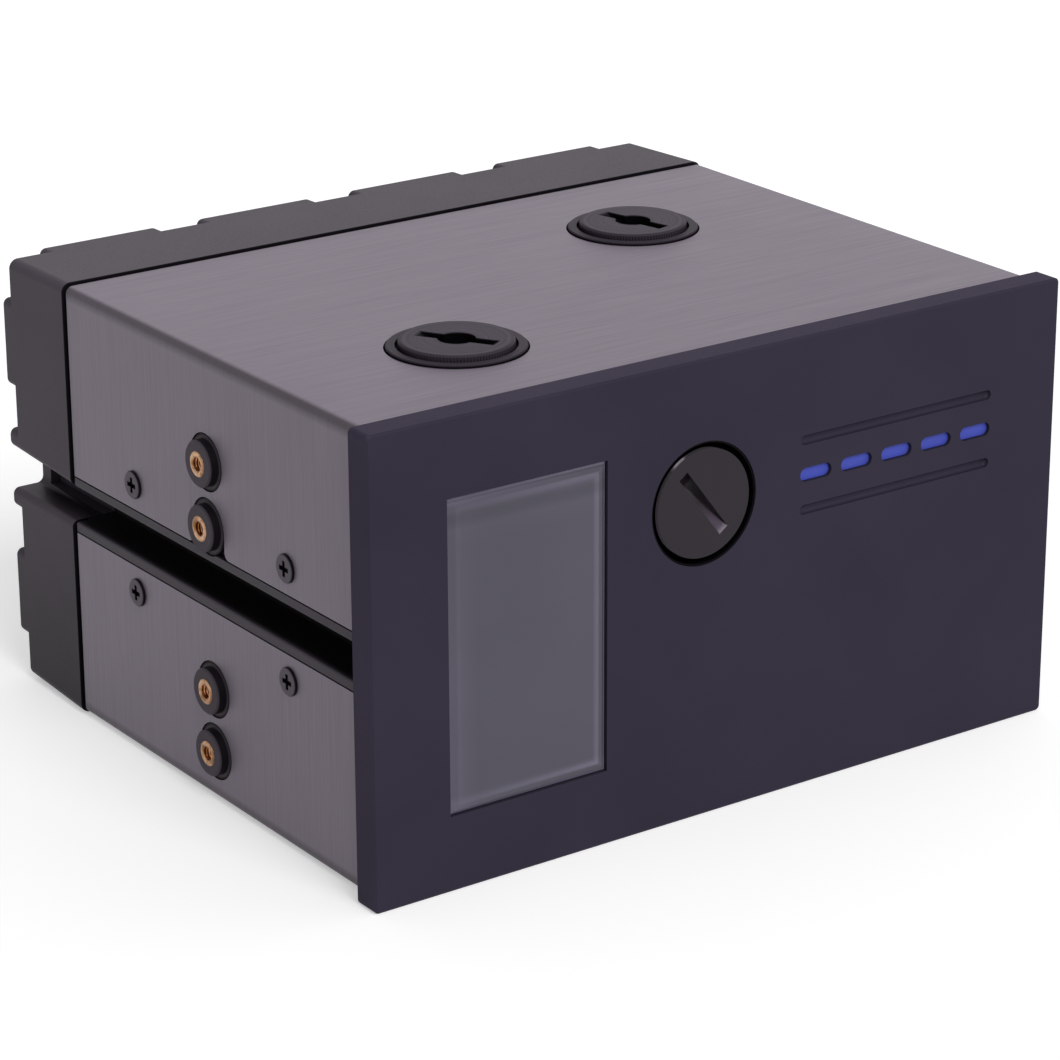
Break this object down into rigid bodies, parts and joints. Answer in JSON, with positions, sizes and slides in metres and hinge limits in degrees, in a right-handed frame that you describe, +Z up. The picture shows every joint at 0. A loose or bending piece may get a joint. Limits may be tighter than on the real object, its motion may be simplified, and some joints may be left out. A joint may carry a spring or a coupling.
{
  "type": "water cooling reservoir",
  "caption": "Drive-bay water cooling reservoir: dark front plate with a level window and coin-slot fill cap, brushed folded covers, threaded top port plugs and a ported rear cap.",
  "frame": {"origin": "middle of the outline on the ground: below the centre of the front plate's lower edge, half the depth behind its face", "axes": "+X to the right seen from the front, -Y out of the front plate, +Z up"},
  "size_m": [0.149, 0.1282, 0.0853],
  "materials": {
    "anodised_plate": "fine matt black anodised",
    "blue_inlay": "satin blue",
    "smoked_acrylic": "polished clear over a dark tank",
    "seal_rubber": "matt black",
    "black_acetal": "machined satin black",
    "cap_plastic": "machined satin black",
    "black_screws": "black oxide",
    "gloss_cap": "turned gloss black",
    "brushed_cover": "brushed, dark anodised",
    "port_metal": "satin black",
    "grommet_rubber": "matt black",
    "brass_insert": "plain turned"
  },
  "bodies": {
    "reservoir": {"front_plate": "anodised_plate", "accent_bars": "blue_inlay", "window_pane": "smoked_acrylic", "window_gasket": "seal_rubber", "front_bulkhead": "black_acetal", "front_gasket": "seal_rubber", "front_screws": "black_screws", "fill_collar": "black_acetal", "fill_collar_washer": "seal_rubber", "tank_body": "black_acetal", "upper_cover": "brushed_cover", "lower_cover": "brushed_cover", "cover_screws": "black_screws", "port_collar_left": "port_metal", "port_collar_right": "port_metal", "port_washer_left": "seal_rubber", "port_washer_right": "seal_rubber", "rear_gasket": "seal_rubber", "rear_cap": "cap_plastic", "rear_cap_screws": "black_screws", "mount_grommets_left": "grommet_rubber", "mount_grommets_right": "grommet_rubber", "mount_inserts_left": "brass_insert", "mount_inserts_right": "brass_insert"},
    "fill_cap_lift": {"fill_cap_seal": "seal_rubber"},
    "fill_cap_turn": {"fill_cap": "gloss_cap"},
    "port_left_lift": {"port_seal_left": "seal_rubber"},
    "port_left_turn": {"port_plug_left": "port_metal"},
    "port_right_lift": {"port_seal_right": "seal_rubber"},
    "port_right_turn": {"port_plug_right": "port_metal"}
  },
  "joints": [
    {"name": "fill_cap_unscrew_travel", "type": "slide", "parent": "reservoir", "child": "fill_cap_lift", "axis": [0, -1, 0], "range_m": [0, 0.0068]},
    {"name": "fill_cap_unscrew_turn", "type": "hinge", "parent": "fill_cap_lift", "child": "fill_cap_turn", "pos_m": [-0.0061, -0.0641, 0.05845], "axis": [0, -1, 0], "range_deg": [0, 1620]},
    {"name": "port_left_unscrew_travel", "type": "slide", "parent": "reservoir", "child": "port_left_lift", "axis": [0, 0, 1], "range_m": [0, 0.00607]},
    {"name": "port_left_unscrew_turn", "type": "hinge", "parent": "port_left_lift", "child": "port_left_turn", "pos_m": [-0.0351, -0.03195, 0.08385], "axis": [0, 0, 1], "range_deg": [0, 1620]},
    {"name": "port_right_unscrew_travel", "type": "slide", "parent": "reservoir", "child": "port_right_lift", "axis": [0, 0, 1], "range_m": [0, 0.00607]},
    {"name": "port_right_unscrew_turn", "type": "hinge", "parent": "port_right_lift", "child": "port_right_turn", "pos_m": [0.0333, 0.00925, 0.08385], "axis": [0, 0, 1], "range_deg": [0, 1620]}
  ],
  "couplings": [
    {"joint": "fill_cap_unscrew_travel", "follows": "fill_cap_unscrew_turn", "m_per_rad": 0.00023873},
    {"joint": "port_left_unscrew_travel", "follows": "port_left_unscrew_turn", "m_per_rad": 0.00021279},
    {"joint": "port_right_unscrew_travel", "follows": "port_right_unscrew_turn", "m_per_rad": 0.00021279}
  ]
}
